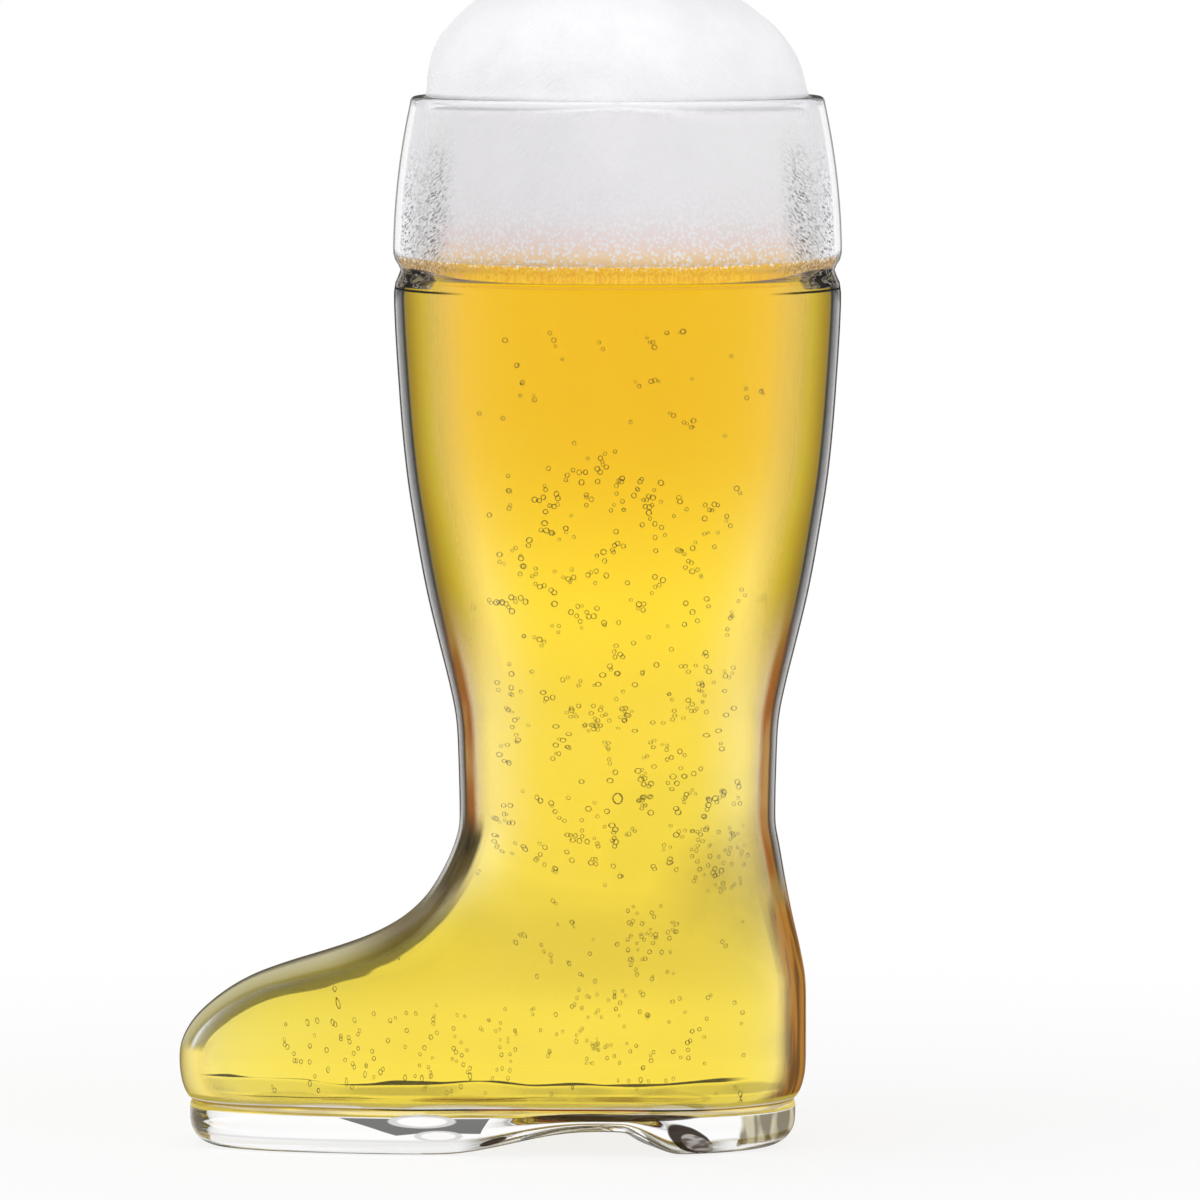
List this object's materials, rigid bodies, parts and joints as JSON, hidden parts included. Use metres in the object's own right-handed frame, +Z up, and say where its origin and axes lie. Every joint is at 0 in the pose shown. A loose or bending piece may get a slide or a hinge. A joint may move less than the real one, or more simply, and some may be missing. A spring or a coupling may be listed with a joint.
{
  "type": "beer boot glass",
  "caption": "Boot-shaped drinking glass of clear blown glass, filled with pale beer under a piled head of foam.",
  "frame": {"origin": "on the table under the boot, in its middle plane, halfway between the tip of the toe and the back of the cuff", "axes": "+Z up along the shaft, toe towards -X, +Y across the boot"},
  "size_m": [0.1494, 0.101, 0.2651],
  "materials": {
    "clear_glass": "smooth blown soda-lime glass, fire-polished",
    "pale_beer": "clear golden liquid",
    "beer_foam": "fine wet foam"
  },
  "bodies": {
    "root": {"glass_boot": "clear_glass", "beer": "pale_beer", "foam_head": "beer_foam"}
  },
  "joints": []
}
